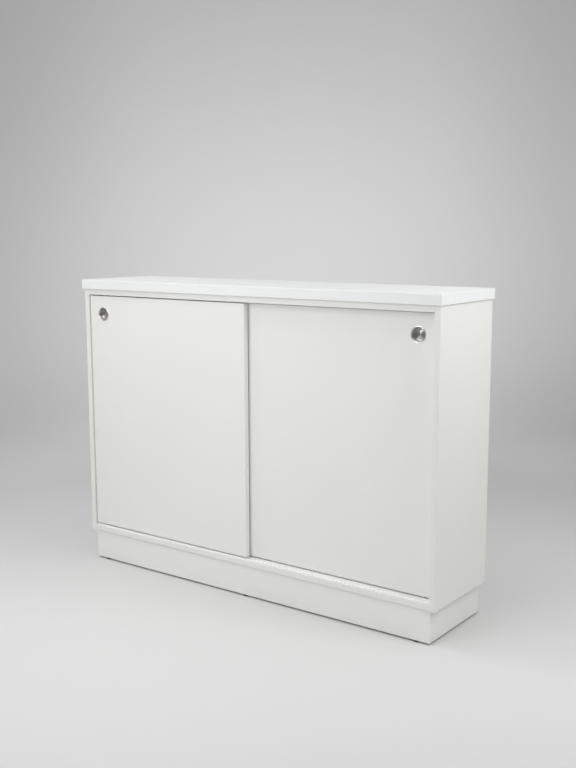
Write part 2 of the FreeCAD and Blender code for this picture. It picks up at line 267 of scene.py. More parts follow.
def makeBoardFace(setup):
    # Melamine foil: a faint cloud in the white, pearl embossing and hand-worn gloss
    tree, enter, leave = newGroup("boardFace", {
        "Point": ("vector", None),
        "Tone": ("color", (0.86, 0.86, 0.84, 1)),
        "Shade": ("color", (0.84, 0.84, 0.82, 1)),
        "Cloud Scale": ("value", 3.0),
        "Pearl Scale": ("value", 900.0),
        "Gloss Low": ("value", 0.36),
        "Gloss High": ("value", 0.44),
    }, {"Color": "color", "Roughness": "value", "Height": "value"})
    cloud = smooth(tree, noise(tree, enter["Point"], enter["Cloud Scale"], detail=3), 0.35, 0.65)
    fine = smooth(tree, noise(tree, enter["Point"], setup["fineScale"], detail=3), 0.4, 0.6)
    depth = mixValue(tree, setup["fineShare"], cloud, fine)
    feed(tree, leave["Color"], mixColor(tree, depth, enter["Tone"], enter["Shade"]))
    pearl = noise(tree, enter["Point"], enter["Pearl Scale"], detail=2, roughness=0.6)
    feed(tree, leave["Height"], pearl)
    worn = noise(tree, enter["Point"], setup["wornScale"], detail=4, roughness=0.6)
    gloss = mixValue(tree, setup["pearlShare"], worn, pearl)
    feed(tree, leave["Roughness"], mixValue(tree, gloss, enter["Gloss Low"], enter["Gloss High"]))
    return tree


def makeBoardEdges(setup):
    # Where a board's edging meets its faces, where its corners get handled (and, on the slab,
    # darkened
    #     # by painted shade), where it is cut into its core, and which faces are its broad ones
    tree, enter, leave = newGroup("boardEdges", {
        "Point": ("vector", None),
        "Low": ("vector", None),
        "High": ("vector", None),
        "Band Low": ("vector", None),
        "Band High": ("vector", None),
        "Across": ("vector", None),
        "Band": ("value", 0.001),
        "Skin": ("value", 0.00045),
    }, {"Seam": "value", "Corner": "value", "Core": "value", "Broad": "value"})
    point = enter["Point"]
    fromLow = vectorCalc(tree, "SUBTRACT", point, enter["Low"])
    fromHigh = vectorCalc(tree, "SUBTRACT", enter["High"], point)
    inward = vectorCalc(tree, "MINIMUM", fromLow, fromHigh)
    x, y, z = splitVector(tree, inward)[:3]
    nearest = calc(tree, "MINIMUM", calc(tree, "MINIMUM", x, y), z)
    coreFrom = calc(tree, "ADD", enter["Skin"], setup["skinFade"])
    feed(tree, leave["Core"], smooth(tree, nearest, enter["Skin"], coreFrom))
    lower = calc(tree, "MINIMUM", x, y)
    upper = calc(tree, "MAXIMUM", x, y)
    second = calc(tree, "MAXIMUM", lower, calc(tree, "MINIMUM", upper, z))
    feed(tree, leave["Corner"], smooth(tree, second, 0.0, setup["cornerReach"], 1.0, 0.0))
    depth = vectorCalc(tree, "DOT_PRODUCT", inward, enter["Across"])
    broad = smooth(tree, depth, *setup["broadDepth"], 1.0, 0.0)
    feed(tree, leave["Broad"], broad)
    # the seam lies on the broad faces only, one band's thickness in from the edge
    far = vectorCalc(tree, "SCALE", enter["Across"])
    far.node.inputs["Scale"].default_value = setup["faraway"]
    bandLow = vectorCalc(tree, "SUBTRACT", point, enter["Band Low"])
    bandHigh = vectorCalc(tree, "SUBTRACT", enter["Band High"], point)
    reach = vectorCalc(tree, "ADD", vectorCalc(tree, "MINIMUM", bandLow, bandHigh), far)
    u, v, w = splitVector(tree, reach)[:3]
    toEdge = calc(tree, "MINIMUM", calc(tree, "MINIMUM", u, v), w)
    offSeam = calc(tree, "ABSOLUTE", calc(tree, "SUBTRACT", toEdge, enter["Band"]))
    seam = smooth(tree, offSeam, *setup["seamHalf"], 1.0, 0.0)
    feed(tree, leave["Seam"], calc(tree, "MULTIPLY", seam, broad))
    return tree


def makeChipCore(setup):
    # Raw particle board, seen in bores and grooves
    tree, enter, leave = newGroup("chipCore", {
        "Point": ("vector", None),
        "Chip Scale": ("value", 420.0),
    }, {"Color": "color", "Height": "value"})
    cells = addNode(tree, "ShaderNodeTexVoronoi")
    feed(tree, cells.inputs["Vector"], stretched(tree, enter["Point"], setup["flat"]))
    feed(tree, cells.inputs["Scale"], enter["Chip Scale"])
    tint = splitVector(tree, cells.outputs["Color"])[0]
    chips = mixColor(tree, tint, rgba(setup["light"]), rgba(setup["dark"]))
    grit = noise(tree, enter["Point"], setup["gritScale"], detail=2)
    share = calc(tree, "MULTIPLY", grit, setup["gritShare"])
    feed(tree, leave["Color"], mixColor(tree, share, chips, rgba(setup["grit"])))
    feed(tree, leave["Height"], calc(tree, "SUBTRACT", grit, cells.outputs["Distance"]))
    return tree


def makeFloorMarks(setup):
    # What a mop and shoes leave on the lowest few centimetres
    tree, enter, leave = newGroup("floorMarks", {
        "Point": ("vector", None),
        "Height": ("value", 0.07),
        "Amount": ("value", 0.12),
    }, {"Mask": "value"})
    z = splitVector(tree, enter["Point"])[2]
    low = smooth(tree, z, 0.0, enter["Height"], 1.0, 0.0)
    blotchPoint = stretched(tree, enter["Point"], setup["blotchStretch"])
    blotch = noise(tree, blotchPoint, setup["blotchScale"], detail=5, roughness=0.65)
    streakPoint = stretched(tree, enter["Point"], setup["streakStretch"])
    streak = noise(tree, streakPoint, setup["streakScale"], detail=3)
    blotch = calc(tree, "MULTIPLY", smooth(tree, blotch, 0.42, 0.72), setup["blotchShare"])
    streak = calc(tree, "MULTIPLY", smooth(tree, streak, 0.55, 0.75), setup["streakShare"])
    marks = calc(tree, "MULTIPLY", calc(tree, "ADD", blotch, streak, clamp=True), low)
    feed(tree, leave["Mask"], calc(tree, "MULTIPLY", marks, enter["Amount"]))
    return tree


def makeSettledDust(setup):
    # A thin film on what faces up
    tree, enter, leave = newGroup("settledDust", {
        "Point": ("vector", None),
        "Amount": ("value", 0.1),
    }, {"Mask": "value"})
    normal = addNode(tree, "ShaderNodeNewGeometry").outputs["Normal"]
    upward = smooth(tree, splitVector(tree, normal)[2], *setup["upward"])
    patch = noise(tree, enter["Point"], setup["patchScale"], detail=6, roughness=0.62)
    patch = calc(tree, "MULTIPLY", smooth(tree, patch, 0.35, 0.7), setup["patchShare"])
    specks = smooth(tree, noise(tree, enter["Point"], setup["speckScale"], detail=1), 0.68, 0.74)
    film = calc(tree, "MULTIPLY", calc(tree, "MAXIMUM", patch, specks), upward)
    feed(tree, leave["Mask"], calc(tree, "MULTIPLY", film, enter["Amount"]))
    return tree


def makeDrawnMetal(setup):
    # Fine drawing lines along the piece, with a little dulling; Lines is already stretched
    tree, enter, leave = newGroup("drawnMetal", {
        "Point": ("vector", None),
        "Lines": ("vector", None),
        "Tone": ("color", (0.7, 0.7, 0.7, 1)),
        "Shade": ("color", (0.5, 0.5, 0.5, 1)),
        "Gloss Low": ("value", 0.22),
        "Gloss High": ("value", 0.4),
    }, {"Color": "color", "Roughness": "value", "Height": "value"})
    lines = noise(tree, enter["Lines"], 1.0, detail=3, roughness=0.7)
    dull = noise(tree, enter["Point"], setup["dullScale"], detail=4, roughness=0.6)
    mix = mixValue(tree, setup["dullShare"], lines, smooth(tree, dull, 0.38, 0.68))
    feed(tree, leave["Color"], mixColor(tree, mix, enter["Tone"], enter["Shade"]))
    feed(tree, leave["Roughness"], mixValue(tree, mix, enter["Gloss Low"], enter["Gloss High"]))
    feed(tree, leave["Height"], lines)
    return tree


def makeTurnedRings(setup):
    # Lathe marks round the Y axis; Point is centred on the turned piece
    tree, enter, leave = newGroup("turnedRings", {
        "Point": ("vector", None),
        "Pitch": ("value", 0.0004),
    }, {"Height": "value", "Tint": "value", "Radius": "value"})
    flat = vectorCalc(tree, "MULTIPLY", enter["Point"], (1, 0, 1))
    radius = vectorCalc(tree, "LENGTH", flat)
    feed(tree, leave["Radius"], radius)
    turns = calc(tree, "DIVIDE", radius, enter["Pitch"])
    rings = addNode(tree, "ShaderNodeTexNoise", noise_dimensions="1D")
    feed(tree, rings.inputs["W"], turns)
    rings.inputs["Scale"].default_value = 1.0
    rings.inputs["Detail"].default_value = 2.0
    feed(tree, leave["Height"], rings.outputs[0])
    broad = addNode(tree, "ShaderNodeTexNoise", noise_dimensions="1D")
    feed(tree, broad.inputs["W"], calc(tree, "MULTIPLY", turns, setup["broadCount"]))
    broad.inputs["Scale"].default_value = 1.0
    feed(tree, leave["Tint"], smooth(tree, broad.outputs[0], 0.35, 0.65))
    return tree


def makeMouldSkin(setup):
    # Spark-eroded skin of a moulded or extruded plastic, with a faint flow cloud
    tree, enter, leave = newGroup("mouldSkin", {
        "Point": ("vector", None),
        "Tone": ("color", (0.8, 0.8, 0.8, 1)),
        "Shade": ("color", (0.7, 0.7, 0.7, 1)),
        "Skin Scale": ("value", 1600.0),
        "Gloss Low": ("value", 0.4),
        "Gloss High": ("value", 0.6),
    }, {"Color": "color", "Roughness": "value", "Height": "value"})
    flow = noise(tree, enter["Point"], setup["flowScale"], detail=4, roughness=0.6)
    flow = smooth(tree, flow, 0.35, 0.7)
    skin = noise(tree, enter["Point"], enter["Skin Scale"], detail=2, roughness=0.6)
    depth = mixValue(tree, setup["skinShare"], flow, skin)
    feed(tree, leave["Color"], mixColor(tree, depth, enter["Tone"], enter["Shade"]))
    feed(tree, leave["Roughness"], mixValue(tree, flow, enter["Gloss Low"], enter["Gloss High"]))
    feed(tree, leave["Height"], skin)
    return tree


boardFace = makeBoardFace(effectSetup["boardFace"])
boardEdges = makeBoardEdges(effectSetup["boardEdges"])
chipCore = makeChipCore(effectSetup["chipCore"])
floorMarks = makeFloorMarks(effectSetup["floorMarks"])
settledDust = makeSettledDust(effectSetup["settledDust"])
drawnMetal = makeDrawnMetal(effectSetup["drawnMetal"])
turnedRings = makeTurnedRings(effectSetup["turnedRings"])
mouldSkin = makeMouldSkin(effectSetup["mouldSkin"])
print("surface effects made")


# Melamine boards. Each board's material knows the board's own corners

boardLooks = {
    "slab": {
        "tone": (0.874, 0.882, 0.884), "shade": (0.860, 0.869, 0.873), "gloss": (0.32, 0.42),
        # its corner colour is mostly painted shade, which darkens the rounded top edge where it
        # catches light
        "pearl": 850, "band": 0.002, "skin": 0.0015, "edgeWearAndShade": 0.8, "dust": 0.10,
    },
    "carcass": {
        "tone": (0.858, 0.864, 0.834), "shade": (0.844, 0.850, 0.818), "gloss": (0.36, 0.46),
        "pearl": 900, "band": 0.001, "skin": 0.00045, "edgeWearAndShade": 0.12, "dust": 0.12,
    },
    # painted light: the same board as the carcass, toned lighter to make up for the shade under
    # the carcass
    "plinth": {
        "tone": (0.906, 0.908, 0.870), "shade": (0.892, 0.894, 0.854), "gloss": (0.38, 0.5),
        "pearl": 900, "band": 0.001, "skin": 0.00045, "edgeWearAndShade": 0.12, "marks": 0.16,
    },
    "door": {
        "tone": (0.878, 0.882, 0.853), "shade": (0.864, 0.869, 0.840), "gloss": (0.34, 0.42),
        "pearl": 950, "band": 0.001, "skin": 0.00045, "edgeWearAndShade": 0.12,
        "edging": (0.955, 0.957, 0.925),      # painted light: the doors' edge faces are toned a little whiter, standing in for light on them
    },
    "back": {
        "tone": (0.820, 0.824, 0.800), "shade": (0.800, 0.804, 0.778), "gloss": (0.5, 0.62),
        "pearl": 600, "band": 0.001, "skin": 0.0015, "edgeWearAndShade": 0.12,
    },
}
boardStainsAndShade = {
    "seam": (0.42, 0.41, 0.37),
    "seamShare": 0.45,
    # corner colour: handling wear, and on the slab painted shade over the rounded top edge
    "wornAndShadedCorner": (0.62, 0.60, 0.55),
    "wornAndShadedCornerScale": 35,
    "marks": (0.38, 0.36, 0.32),
    "dust": (0.74, 0.73, 0.70),
    "wornRough": 0.7,
    "dustRough": 0.9,
    "coreRough": 0.92,
    "foilHeight": 0.35,
}
edgedAllRound = ("top_slab", "left_door_panel", "right_door_panel")
edgedInFront = ("side_left", "side_right", "carcass_top", "carcass_bottom", "centre_divider",
                "shelf_left", "shelf_right")


def bandCorners(name, low, high):
    # the box of the edged sides; sides with no edging are pushed far away
    if name in edgedAllRound:
        return low, high
    away = Vector((10, 10, 10))
    if name in edgedInFront:
        return low - away * Vector((1, 0, 1)), high + away
    return low - away, high + away


def boardMaterial(name, look, stainsAndShade):
    material, tree, shader = newMaterial(name + "_finish")
    low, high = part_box(name)
    bandLow, bandHigh = bandCorners(name, low, high)
    size = high - low
    across = [1.0 if side == min(size) else 0.0 for side in size]
    point = objectPoint(tree)
    face = placeGroup(tree, boardFace, {
        "Point": point, "Pearl Scale": look["pearl"], **toneAndGloss(look),
    })
    edges = placeGroup(tree, boardEdges, {
        "Point": point, "Low": low, "High": high, "Band Low": bandLow, "Band High": bandHigh,
        "Across": across, "Band": look["band"], "Skin": look["skin"],
    })
    core = placeGroup(tree, chipCore, {"Point": point})
    seamShade = calc(tree, "MULTIPLY", edges["Seam"], stainsAndShade["seamShare"])
    color = face["Color"]
    # painted light: the doors' edge faces take the whiter tone
    if "edging" in look:
        color = mixColor(tree, edges["Broad"], rgba(look["edging"]), color)
    color = mixColor(tree, seamShade, color, rgba(stainsAndShade["seam"]))
    # corners: handling wear, and on the slab mostly painted shade that darkens its rounded top
    # edge
    wornAndShadedCorner = noise(tree, point, stainsAndShade["wornAndShadedCornerScale"], detail=4)
    wornAndShadedCorner = calc(tree, "MULTIPLY", edges["Corner"], wornAndShadedCorner)
    wornAndShadedCorner = calc(tree, "MULTIPLY", wornAndShadedCorner, look["edgeWearAndShade"])
    color = mixColor(tree, wornAndShadedCorner, color, rgba(stainsAndShade["wornAndShadedCorner"]))
    rough = mixValue(tree, edges["Corner"], face["Roughness"], stainsAndShade["wornRough"])
    if "marks" in look:
        marks = placeGroup(tree, floorMarks, {"Point": point, "Amount": look["marks"]})["Mask"]
        color = mixColor(tree, marks, color, rgba(stainsAndShade["marks"]))
        rough = mixValue(tree, marks, rough, stainsAndShade["wornRough"])
    if "dust" in look:
        dust = placeGroup(tree, settledDust, {"Point": point, "Amount": look["dust"]})["Mask"]
        color = mixColor(tree, dust, color, rgba(stainsAndShade["dust"]))
        rough = mixValue(tree, dust, rough, stainsAndShade["dustRough"])
    color = mixColor(tree, edges["Core"], color, core["Color"])
    feed(tree, shader.inputs["Base Color"], color)
    rough = mixValue(tree, edges["Core"], rough, stainsAndShade["coreRough"])
    feed(tree, shader.inputs["Roughness"], rough)
    foil = calc(tree, "MULTIPLY", face["Height"], stainsAndShade["foilHeight"])
    foil = calc(tree, "SUBTRACT", foil, edges["Seam"])
    height = mixValue(tree, edges["Core"], foil, core["Height"])
    addBump(tree, shader, height, distance=0.00006, strength=0.5)
    return material


def lookFor(name):
    if slotOf[name] == "slab_board":
        return boardLooks["slab"]
    if slotOf[name] == "door_board":
        return boardLooks["door"]
    if slotOf[name] == "back_board":
        return boardLooks["back"]
    return boardLooks["plinth" if name.startswith("plinth") else "carcass"]


boards = [name for name in nodes if slotOf[name].endswith("_board")]
for name in boards:
    paint(nodes[name], boardMaterial(name, lookFor(name), boardStainsAndShade))
print("boards finished:", len(boards))


# Plastics

plasticLooks = {
    "white_plastic": {"tone": (0.850, 0.856, 0.826), "shade": (0.80, 0.805, 0.775),
                      "gloss": (0.30, 0.42), "skin": 1400},
    "grey_plastic": {"tone": (0.53, 0.54, 0.55), "shade": (0.44, 0.45, 0.46),
                     "gloss": (0.38, 0.55), "skin": 1700},
    "dark_plastic": {"tone": (0.055, 0.055, 0.057), "shade": (0.10, 0.10, 0.10),
                     "gloss": (0.45, 0.65), "skin": 1300},
    "nylon": {"tone": (0.84, 0.83, 0.78), "shade": (0.72, 0.71, 0.65),
              "gloss": (0.28, 0.4), "skin": 1100},
    "rubber": {"tone": (0.16, 0.16, 0.165), "shade": (0.23, 0.23, 0.23),
               "gloss": (0.65, 0.85), "skin": 800},
}


def plasticMaterial(slot, look):
    material, tree, shader = newMaterial(slot + "_finish")
    skin = placeGroup(tree, mouldSkin, {
        "Point": objectPoint(tree), "Skin Scale": look["skin"], **toneAndGloss(look),
    })
    feed(tree, shader.inputs["Base Color"], skin["Color"])
    feed(tree, shader.inputs["Roughness"], skin["Roughness"])
    addBump(tree, shader, skin["Height"], distance=0.00004, strength=0.5)
    return material


plastics = {slot: plasticMaterial(slot, look) for slot, look in plasticLooks.items()}
for name in nodes:
    if slotOf[name] in plastics:
        paint(nodes[name], plastics[slotOf[name]])
print("plastics finished")


# Extruded tracks: drawing lines along their length, rubbed grey where wheels or guides run

trackLook = {
    "tone": (0.925, 0.930, 0.900),
    "shade": (0.885, 0.890, 0.860),
    "gloss": (0.46, 0.56),
    "skin": 2400,
    "drawn": (0.0015, 1, 1),          # the skin is drawn out along the track
    "lanes": (-0.1225, -0.1025),
    "laneHalf": (0.00208, 0.0026),    # where a lane begins to fade, and where it ends
    "laneGloss": 0.4,
    "rubbed": (0.52, 0.52, 0.50),
    "rubbedShare": 0.22,
    "streaks": (0.8, 1800, 1800),
}


def trackMaterial(look):
    material, tree, shader = newMaterial("track_finish")
    point = objectPoint(tree)
    skin = placeGroup(tree, mouldSkin, {
        "Point": stretched(tree, point, look["drawn"]), "Skin Scale": look["skin"],
        **toneAndGloss(look),
    })
    y = splitVector(tree, point)[1]
    front, rear = (calc(tree, "SUBTRACT", y, lane) for lane in look["lanes"])
    offLane = calc(tree, "MINIMUM", calc(tree, "ABSOLUTE", front), calc(tree, "ABSOLUTE", rear))
    inLane = smooth(tree, offLane, *look["laneHalf"], 1.0, 0.0)
    lines = noise(tree, stretched(tree, point, look["streaks"]), 1.0, detail=4, roughness=0.6)
    rub = calc(tree, "MULTIPLY", smooth(tree, lines, 0.4, 0.75), look["rubbedShare"])
    rub = calc(tree, "MULTIPLY", inLane, rub)
    color = mixColor(tree, rub, skin["Color"], rgba(look["rubbed"]))
    feed(tree, shader.inputs["Base Color"], color)
    rough = mixValue(tree, inLane, skin["Roughness"], look["laneGloss"])
    feed(tree, shader.inputs["Roughness"], rough)
    addBump(tree, shader, skin["Height"], distance=0.00002, strength=0.2)
    return material


track = trackMaterial(trackLook)
for name in ("lower_track", "upper_track_front", "upper_track_rear"):
    paint(nodes[name], track)
print("tracks finished")


# Metal fittings and beech dowels

metalLooks = {
    "steel": {"tone": (0.66, 0.66, 0.65), "shade": (0.46, 0.46, 0.46), "gloss": (0.2, 0.38)},
    "zinc": {"tone": (0.55, 0.56, 0.57), "shade": (0.38, 0.39, 0.40), "gloss": (0.35, 0.55)},
}


def metalMaterial(name, look, lines):
    # lines says how finely the drawing marks are packed along X, Y and Z
    material, tree, shader = newMaterial(name)
    point = objectPoint(tree)
    drawn = placeGroup(tree, drawnMetal, {
        "Point": point, "Lines": stretched(tree, point, lines), **toneAndGloss(look),
    })
    feed(tree, shader.inputs["Base Color"], drawn["Color"])
    feed(tree, shader.inputs["Roughness"], drawn["Roughness"])
    shader.inputs["Metallic"].default_value = 1
    addBump(tree, shader, drawn["Height"], distance=0.00003, strength=0.4)
    return material


steelAlongX = metalMaterial("steelAlongX", metalLooks["steel"], (40, 2600, 2600))
steelAlongY = metalMaterial("steelAlongY", metalLooks["steel"], (2600, 60, 2600))
castZinc = metalMaterial("castZinc", metalLooks["zinc"], (900, 900, 900))
for name in nodes:
    if slotOf[name] == "steel":
        paint(nodes[name], steelAlongY if name.endswith("axles") else steelAlongX)
    if slotOf[name] == "zinc":
        paint(nodes[name], castZinc)


beechLook = {
    "tone": (0.72, 0.53, 0.34),
    "shade": (0.55, 0.36, 0.20),
    "gloss": (0.6, 0.75),
    "rays": (60, 1800, 1800),         # drawn out along the dowels
    "fleck": (0.36, 0.21, 0.11),
    "flecks": (300, 2600, 2600),
}


def beechMaterial(look):
    material, tree, shader = newMaterial("beech_finish")
    point = objectPoint(tree)
    rays = noise(tree, stretched(tree, point, look["rays"]), 1.0, detail=4, roughness=0.65)
    rays = smooth(tree, rays, 0.35, 0.7)
    flecks = noise(tree, stretched(tree, point, look["flecks"]), 1.0, detail=1)
    flecks = smooth(tree, flecks, 0.62, 0.7)
    wood = mixColor(tree, rays, rgba(look["tone"]), rgba(look["shade"]))
    feed(tree, shader.inputs["Base Color"], mixColor(tree, flecks, wood, rgba(look["fleck"])))
    feed(tree, shader.inputs["Roughness"], mixValue(tree, rays, *look["gloss"]))
    addBump(tree, shader, rays, distance=0.00008, strength=0.5)
    return material


paint(nodes["dowels"], beechMaterial(beechLook))
print("fittings finished")


# Finger pulls: a turned cup with a rolled lip, one in each door

pullSetup = {
    "steps": 96,
    "proud": 0.001,                   # how far the lip stands before the door's face
    # radius and depth behind the door's face in millimetres, from the cup's floor out over the lip
    "inside": ((1.5, 10.15), (4, 10.3), (7, 10.65), (10, 11.1), (12.5, 11.42), (14.2, 11.5),
               (15.4, 11.25), (16.3, 10.7), (17, 9.7), (17.35, 8.6), (17.5, 7), (17.7, 3),
               (17.8, 0.4), (17.9, -0.2), (18.15, -0.6), (18.55, -0.88)),
    "lip": ((19.1, -1.0), (19.9, -0.98), (20.5, -0.8), (20.88, -0.42), (21, 0)),
    "outside": ((19.6, 0), (18.8, 0.3), (18.8, 11.4), (17.8, 12.3), (6, 12.3)),
    "smoothAngle": 40,
    "tone": (0.60, 0.588, 0.56),
    "shade": (0.40, 0.385, 0.352),
    "gloss": (0.36, 0.46),
    "grain": (700, 700, 700),
    "ringPitch": 0.00045,
    "ringShare": 0.4,
    "brushed": 0.92,
    "brushedTurn": 0.25,              # a quarter turn: glints spread across the grooves
    "polishedFrom": (0.0174, 0.0179),
    "lipTone": (0.86, 0.86, 0.84),
    "lipRough": 0.38,
}


def growRing(centre, last, ring):
    # a new ring of faces outward from the last one
    lastRadius, lastDepth = last
    radius, depth = ring
    bpy.ops.mesh.extrude_region_move(
        TRANSFORM_OT_translate={"value": (0, (depth - lastDepth) / 1000, 0)})
    grow = radius / lastRadius
    bpy.ops.transform.resize(value=(grow, 1, grow), center_override=centre)


def modelPull(name, setup):
    middle = middleOf(name)
    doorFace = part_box(name)[0].y + setup["proud"]
    rings = setup["inside"] + setup["lip"] + setup["outside"]
    centre = (middle.x, doorFace, middle.z)
    radius, depth = rings[0]
    bpy.ops.object.select_all(action="DESELECT")
    bpy.ops.mesh.primitive_circle_add(
        vertices=setup["steps"], radius=radius / 1000, fill_type="TRIFAN",
        location=(middle.x, doorFace + depth / 1000, middle.z), rotation=(math.pi / 2, 0, 0))
    pull = bpy.context.object
    bpy.ops.object.transform_apply(location=True, rotation=True, scale=True)
    bpy.ops.object.mode_set(mode="EDIT")
    bpy.ops.mesh.select_mode(type="EDGE")
    bpy.ops.mesh.select_all(action="DESELECT")
    bpy.ops.mesh.select_non_manifold()
    for last, ring in zip(rings, rings[1:]):
        growRing(centre, last, ring)
    bpy.ops.mesh.edge_face_add()
    bpy.ops.mesh.select_all(action="SELECT")
    bpy.ops.mesh.remove_doubles(threshold=0.00001)
    bpy.ops.mesh.normals_make_consistent(inside=False)
    bpy.ops.object.mode_set(mode="OBJECT")
    bpy.ops.object.shade_smooth_by_angle(angle=math.radians(setup["smoothAngle"]))
    return pull


def pullMaterial(name, setup):
    material, tree, shader = newMaterial(name + "_finish")
    point = objectPoint(tree)
    centred = stretched(tree, point, move=-middleOf(name))
    rings = placeGroup(tree, turnedRings, {"Point": centred, "Pitch": setup["ringPitch"]})
    drawn = placeGroup(tree, drawnMetal, {
        "Point": point, "Lines": stretched(tree, point, setup["grain"]), **toneAndGloss(setup),
    })
    ringShade = calc(tree, "MULTIPLY", rings["Tint"], setup["ringShare"])
    cup = mixColor(tree, ringShade, drawn["Color"], rgba(setup["shade"]))
    polished = smooth(tree, rings["Radius"], *setup["polishedFrom"])
    color = mixColor(tree, polished, cup, rgba(setup["lipTone"]))
    feed(tree, shader.inputs["Base Color"], color)
    rough = mixValue(tree, polished, drawn["Roughness"], setup["lipRough"])
    feed(tree, shader.inputs["Roughness"], rough)
    feed(tree, shader.inputs["Tangent"], vectorCalc(tree, "CROSS_PRODUCT", (0, 1, 0), centred))
    shader.inputs["Metallic"].default_value = 1
    shader.inputs["Anisotropic"].default_value = setup["brushed"]
    shader.inputs["Anisotropic Rotation"].default_value = setup["brushedTurn"]
    addBump(tree, shader, rings["Height"], distance=0.0003, strength=0.35)
    return material


def addPulls(setup):
    pull = modelPull("left_door_pull", setup)
    pull.name = "left_pull"
    bpy.ops.object.duplicate()
    other = bpy.context.object
    other.name = "right_pull"
    other.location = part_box("right_door_pull")[0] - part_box("left_door_pull")[0]
    bpy.ops.object.transform_apply(location=True, rotation=True, scale=True)
    for piece, door in ((pull, "left_door"), (other, "right_door")):
        paint(piece, pullMaterial(door + "_pull", setup))
        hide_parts(door + "_pull")
        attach(piece, door)


addPulls(pullSetup)
print("finger pulls made")


# Screws that drive upward: into the slab, through the housings and through the corner blocks

screwSetup = {
    "panHead": {"radius": 0.0042, "rise": 0.0024, "shank": 0.0021, "length": 0.012,
                "round": 0.0012},
    "flatHead": {"radius": 0.0027, "rise": 0.0003, "shank": 0.0013, "length": 0.006,
                 "round": 0.0002},
    "steps": 28,
    "tip": 0.5,               # of the shank's radius
    "crossWidth": 0.22,       # of the head's radius
    "crossReach": 0.62,
    "crossDepth": 0.6,        # of the head's height
    "crossLeast": 0.0005,
    "smoothAngle": 35,
    "slabColumns": (-0.459, -0.150, 0.150, 0.459),
    "slabRows": (-0.0605, 0.0835),
    "slabFace": 0.814,
    "housingReach": 0.0155,   # wheel's middle to the screw
    "blockCentre": 0.009,     # block's inner corner to the screw
    "railFace": 0.008,        # the middle blocks stand on the cross rail's right
    "grain": (1200, 1200, 1200),
}


def modelScrew(name, head, setup):
    # head down, its underside at the origin, so that it drives up into a board
    bpy.ops.object.select_all(action="DESELECT")
    bpy.ops.mesh.primitive_cylinder_add(vertices=setup["steps"], radius=head["radius"],
                                        depth=head["rise"], location=(0, 0, -head["rise"] / 2))
    screw = bpy.context.object
    screw.name = name
    bpy.ops.object.transform_apply(location=True, rotation=True, scale=True)
    bpy.ops.object.mode_set(mode="EDIT")
    bpy.ops.mesh.select_mode(type="EDGE")
    bpy.ops.mesh.select_all(action="DESELECT")
    bpy.ops.object.mode_set(mode="OBJECT")
    for edge in screw.data.edges:
        ends = [screw.data.vertices[i].co.z for i in edge.vertices]
        edge.select = max(ends) < -head["rise"] / 2
    bpy.ops.object.mode_set(mode="EDIT")
    bpy.ops.mesh.bevel(offset=head["round"], segments=4, profile=0.6, affect="EDGES")
    bpy.ops.mesh.select_mode(type="FACE")
    bpy.ops.mesh.select_all(action="DESELECT")
    bpy.ops.object.mode_set(mode="OBJECT")
    for face in screw.data.polygons:
        face.select = face.normal.z > 0.9
    bpy.ops.object.mode_set(mode="EDIT")
    bpy.ops.mesh.inset(thickness=head["radius"] - head["shank"])
    bpy.ops.mesh.extrude_region_move(TRANSFORM_OT_translate={"value": (0, 0, head["length"])})
    bpy.ops.mesh.bevel(offset=head["shank"] * setup["tip"], segments=2, affect="EDGES")
    bpy.ops.object.mode_set(mode="OBJECT")
    cutCross(screw, head, setup)
    selectOnly(screw)
    bpy.ops.object.shade_smooth_by_angle(angle=math.radians(setup["smoothAngle"]))
    return screw


def cutCross(screw, head, setup):
    depth = max(head["rise"] * setup["crossDepth"], setup["crossLeast"])
    for turn in (0, math.pi / 2):
        bpy.ops.object.select_all(action="DESELECT")
        bpy.ops.mesh.primitive_cube_add(size=1, location=(0, 0, -head["rise"]),
                                        rotation=(0, 0, turn))
        blade = bpy.context.object
        reach = head["radius"] * setup["crossReach"]
        blade.scale = (reach * 2, head["radius"] * setup["crossWidth"], depth * 2)
        bpy.ops.object.transform_apply(location=True, rotation=True, scale=True)
        cut = screw.modifiers.new("crossSlot", "BOOLEAN")
        cut.operation = "DIFFERENCE"
        cut.object = blade
        selectOnly(screw)
        bpy.ops.object.modifier_apply(modifier=cut.name)
        bpy.data.objects.remove(blade)


def driveScrews(model, places, finish):
    # one copy at each (name, place, body), then the model goes
    for name, place, body in places:
        selectOnly(model)
        bpy.ops.object.duplicate()
        screw = bpy.context.object
        screw.name = name
        screw.location = place
        bpy.ops.object.transform_apply(location=True, rotation=True, scale=True)
        paint(screw, finish)
        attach(screw, body)
    bpy.data.objects.remove(model)


def slabPlaces(setup):
    spots = [(x, y) for y in setup["slabRows"] for x in setup["slabColumns"]]
    return [("slab_screw_%d" % (i + 1), (x, y, setup["slabFace"]), "carcass")
            for i, (x, y) in enumerate(spots)]


def housingPlaces(setup):
    places = []
    for door in ("left_door", "right_door"):
        for end in ("left", "right"):
            housing = door + "_housing_" + end
            middle, under = middleOf(housing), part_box(housing)[0].z
            for side, mark in ((-1, "a"), (1, "b")):
                spot = (middle.x + side * setup["housingReach"], middle.y, under)
                places.append((door + "_screw_" + end + "_" + mark, spot, door))
    return places


def blockPlaces(setup):
    low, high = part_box("plinth_blocks")
    reach = setup["blockCentre"]
    columns = (low.x + reach, setup["railFace"] + reach, high.x - reach)
    spots = [(x, y) for y in (low.y + reach, high.y - reach) for x in columns]
    return [("block_screw_%d" % (i + 1), (x, y, low.z), "carcass")
            for i, (x, y) in enumerate(spots)]


screwSteel = metalMaterial("screwSteel", metalLooks["steel"], screwSetup["grain"])
panScrew = modelScrew("panScrew", screwSetup["panHead"], screwSetup)
driveScrews(panScrew, slabPlaces(screwSetup) + blockPlaces(screwSetup), screwSteel)
flatScrew = modelScrew("flatScrew", screwSetup["flatHead"], screwSetup)
driveScrews(flatScrew, housingPlaces(screwSetup), screwSteel)
print("screws driven")


